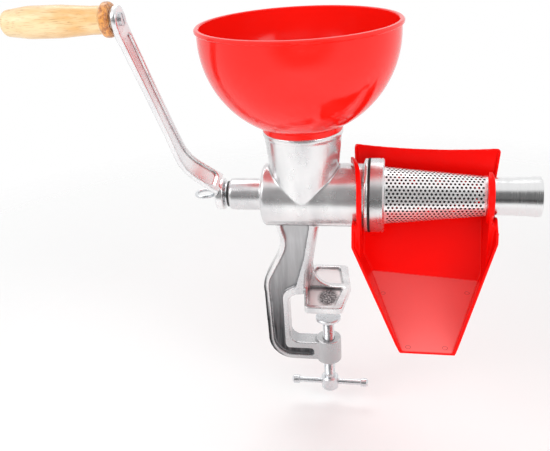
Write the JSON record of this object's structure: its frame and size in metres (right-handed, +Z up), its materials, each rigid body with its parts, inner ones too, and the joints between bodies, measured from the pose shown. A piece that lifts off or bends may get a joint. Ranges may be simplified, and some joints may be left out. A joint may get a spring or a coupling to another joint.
{
  "type": "hand-cranked tomato strainer",
  "caption": "Table-clamped tomato strainer: a crank turns an auger that presses fruit from a round hopper through a perforated cone, with a clip-on juice chute and a pulp outlet.",
  "frame": {"origin": "centre of the upper jaw's underside, on the tabletop plane", "axes": "+X along the drive shaft towards the pulp outlet, +Z up out of the tabletop, -Y towards the chute's lip and the user"},
  "size_m": [0.4473, 0.2, 0.4206],
  "materials": {
    "cast_aluminium": "polished casting",
    "polished_steel": "polished stainless sheet",
    "plated_steel": "zinc plated",
    "red_plastic": "glossy moulding",
    "white_plastic": "satin moulding",
    "black_rubber": "matt",
    "beech_wood": "varnished"
  },
  "bodies": {
    "frame": {"body_casting": "cast_aluminium", "rear_bushing": "white_plastic", "shaft_seal": "black_rubber", "mouth_gasket": "black_rubber"},
    "hopper": {"hopper": "red_plastic"},
    "drive": {"drive_shaft": "plated_steel", "auger": "white_plastic", "thrust_washer": "white_plastic", "crank_arm": "cast_aluminium", "handle_spindle": "plated_steel", "handle_washer": "plated_steel", "handle_end_washer": "plated_steel", "handle_end_nut": "plated_steel"},
    "grip": {"handle_grip": "beech_wood"},
    "screw_washer": {"crank_washer": "plated_steel"},
    "ring_screw": {"ring_screw": "plated_steel"},
    "strainer": {"strainer_flange": "polished_steel", "strainer_cone": "polished_steel", "outlet_collar": "polished_steel", "outlet_tube": "polished_steel"},
    "ring_nut": {"ring_nut": "cast_aluminium"},
    "chute": {"chute": "red_plastic"},
    "clamp_pad": {"clamp_pad": "plated_steel"},
    "clamp_screw": {"clamp_screw": "plated_steel"},
    "tommy_bar": {"tommy_bar": "plated_steel", "bar_caps": "plated_steel"}
  },
  "joints": [
    {"name": "hopper_lift", "type": "slide", "parent": "frame", "child": "hopper", "axis": [0, 0, 1], "range_m": [0, 0.06]},
    {"name": "crank_spin", "type": "hinge", "parent": "frame", "child": "drive", "pos_m": [-0.05, 0, 0.107], "axis": [1, 0, 0], "continuous": true},
    {"name": "handle_spin", "type": "hinge", "parent": "drive", "child": "grip", "pos_m": [-0.2, -0.06464, 0.2846], "axis": [1, 0, 0], "continuous": true},
    {"name": "ring_screw_travel", "type": "slide", "parent": "drive", "child": "screw_washer", "axis": [-1, 0, 0], "range_m": [0, 0.012]},
    {"name": "ring_screw_turn", "type": "hinge", "parent": "screw_washer", "child": "ring_screw", "pos_m": [-0.1, 0, 0.107], "axis": [-1, 0, 0], "range_deg": [0, 4320]},
    {"name": "strainer_travel", "type": "slide", "parent": "frame", "child": "strainer", "axis": [1, 0, 0], "range_m": [0, 0.01]},
    {"name": "ring_nut_turn", "type": "hinge", "parent": "strainer", "child": "ring_nut", "pos_m": [0.05, 0, 0.107], "axis": [1, 0, 0], "range_deg": [0, 1440]},
    {"name": "chute_swing", "type": "hinge", "parent": "frame", "child": "chute", "pos_m": [0.05, 0, 0.107], "axis": [1, 0, 0], "range_deg": [-60, 3]},
    {"name": "clamp_travel", "type": "slide", "parent": "frame", "child": "clamp_pad", "axis": [0, 0, 1], "range_m": [-0.019, 0.02]},
    {"name": "clamp_turn", "type": "hinge", "parent": "clamp_pad", "child": "clamp_screw", "pos_m": [0, 0, -0.08], "axis": [0, 0, 1], "range_deg": [-3420, 3600]},
    {"name": "tommy_slide", "type": "slide", "parent": "clamp_screw", "child": "tommy_bar", "axis": [1, 0, 0], "range_m": [-0.022, 0.022]}
  ],
  "couplings": [
    {"joint": "ring_screw_turn", "follows": "ring_screw_travel", "rad_per_m": 6283.2},
    {"joint": "ring_nut_turn", "follows": "strainer_travel", "rad_per_m": 2513.3},
    {"joint": "clamp_turn", "follows": "clamp_travel", "rad_per_m": 3141.6}
  ]
}
